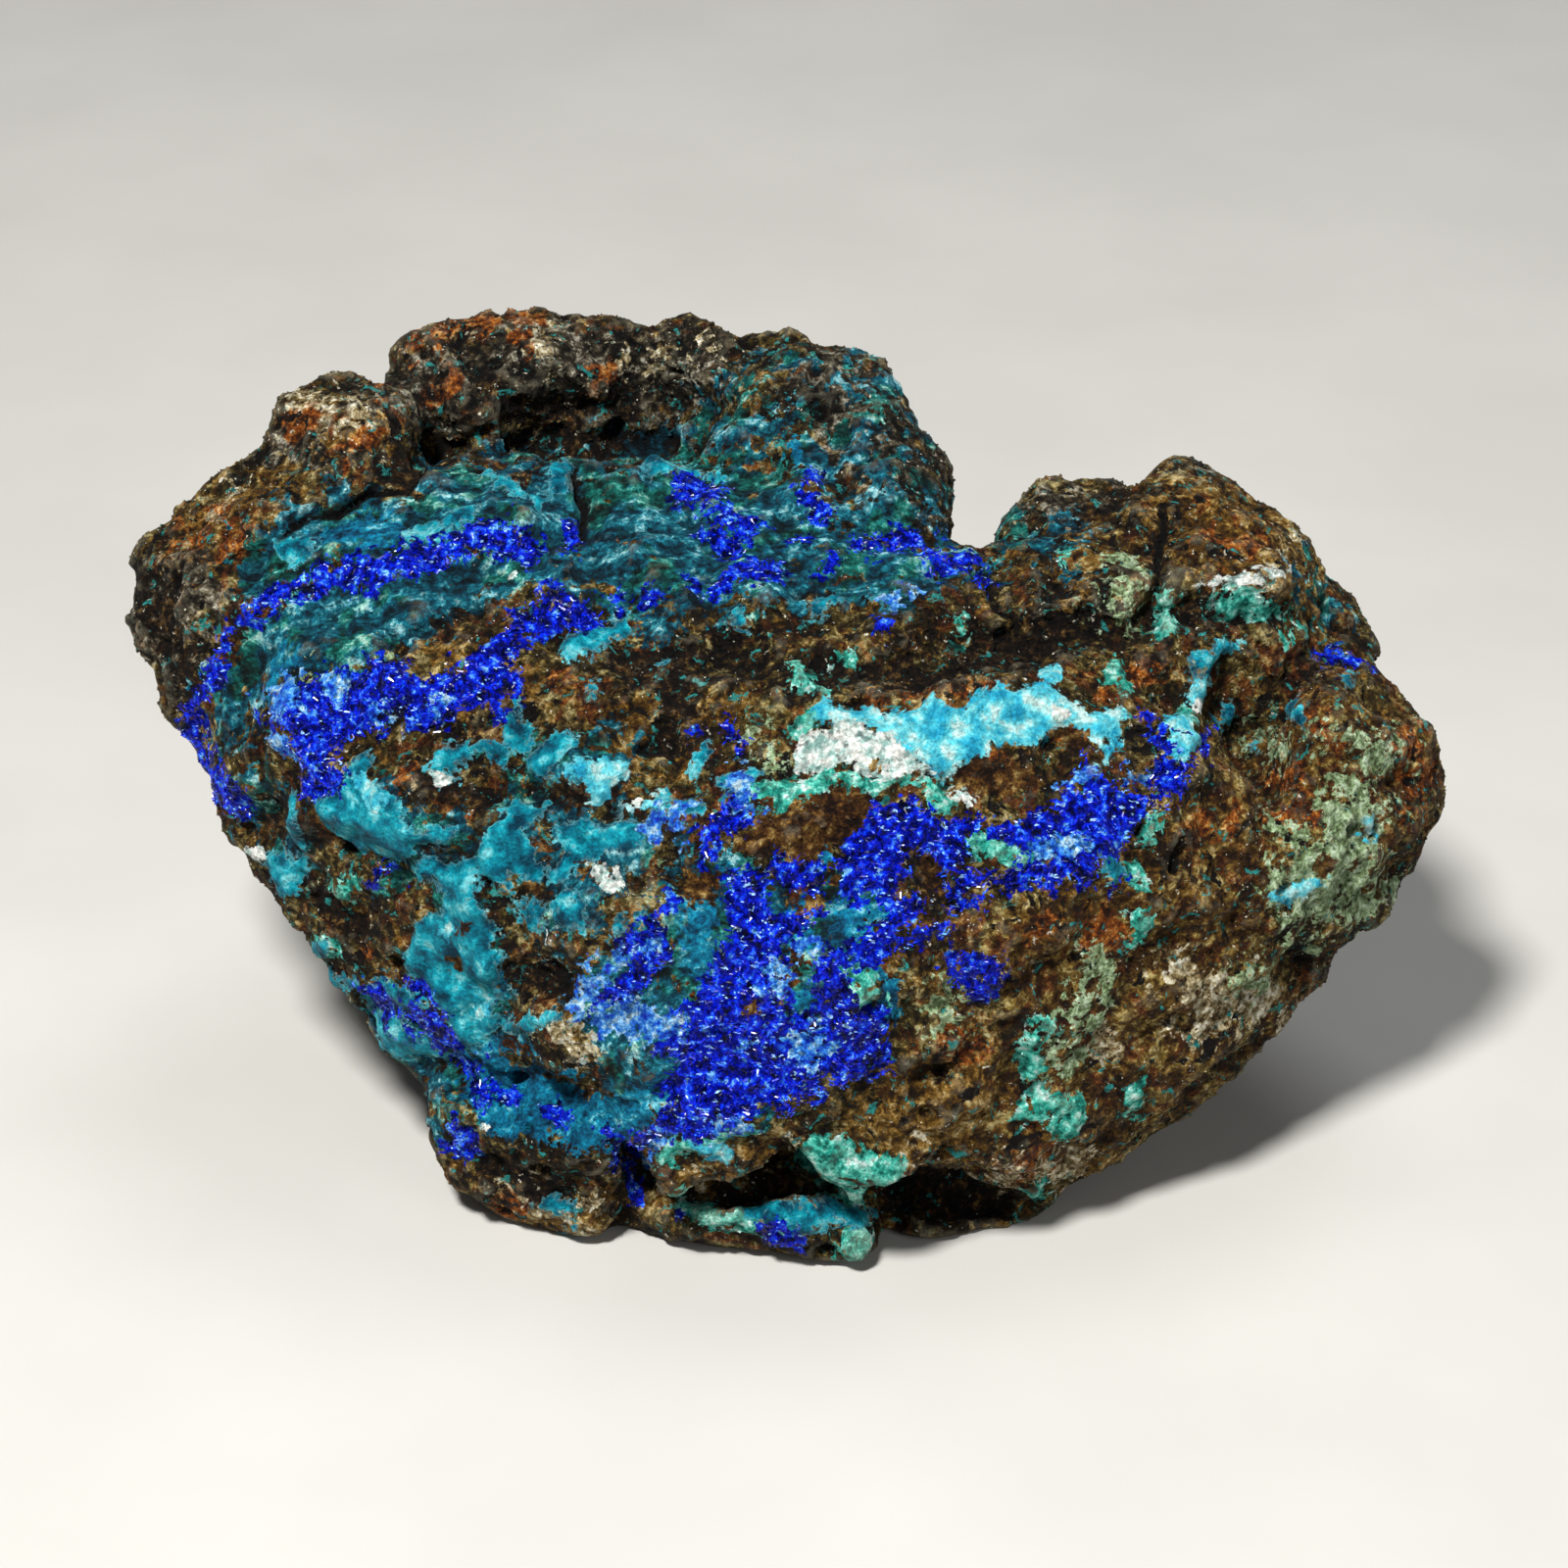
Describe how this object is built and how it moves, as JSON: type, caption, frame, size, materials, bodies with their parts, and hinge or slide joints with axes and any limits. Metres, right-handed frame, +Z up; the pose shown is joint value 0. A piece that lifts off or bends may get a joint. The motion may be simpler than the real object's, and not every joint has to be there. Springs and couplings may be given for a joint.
{
  "type": "azurite and malachite specimen",
  "caption": "Broken lump of copper ore on a flat broken underside, its sloping face crusted with azurite, malachite and chrysocolla over rusty brown matrix.",
  "frame": {"origin": "middle of the bounding box in X and Y, on the flat underside that the lump stands on", "axes": "+X to the right across the crusted face, from tip to tip; -Y is the side the crusted face looks to; +Z up"},
  "size_m": [0.1, 0.0654, 0.0542],
  "materials": {
    "ore": "rough broken stone, blue and green crusts on brown matrix"
  },
  "bodies": {
    "root": {"specimen": "ore"}
  },
  "joints": []
}
